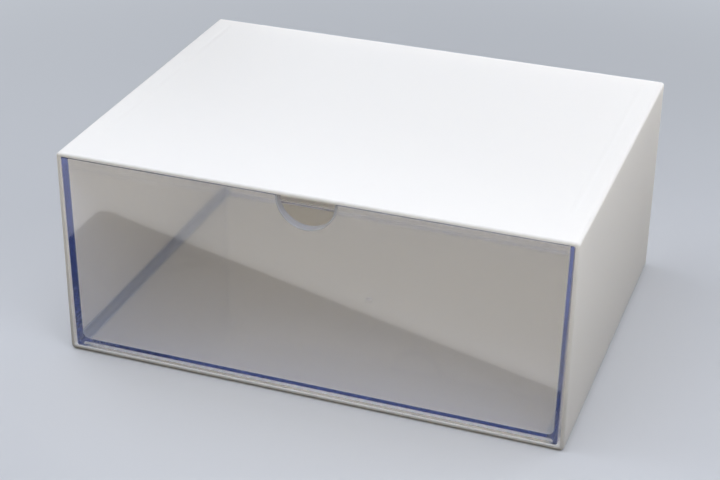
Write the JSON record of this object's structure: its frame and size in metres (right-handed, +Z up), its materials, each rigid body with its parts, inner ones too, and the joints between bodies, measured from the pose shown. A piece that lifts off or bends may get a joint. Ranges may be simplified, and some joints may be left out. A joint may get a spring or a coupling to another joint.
{
  "type": "stackable drawer box",
  "caption": "Low stackable storage box: an opaque moulded casing open at the front, with a clear pull-out drawer that has a half-round finger notch.",
  "frame": {"origin": "middle of the footprint, on the surface that the box stands on", "axes": "+X to the right seen from the front, +Y from the front to the back, +Z up"},
  "size_m": [0.256, 0.192, 0.11],
  "materials": {
    "casing": "white injection-moulded plastic with a fine satin surface",
    "drawer": "clear injection-moulded polystyrene, polished, whose edges look blue"
  },
  "bodies": {
    "casing": {"casing": "casing"},
    "drawer": {"drawer": "drawer"}
  },
  "joints": [
    {"name": "drawer_slide", "type": "slide", "parent": "casing", "child": "drawer", "axis": [0, -1, 0], "range_m": [0, 0.19]}
  ]
}
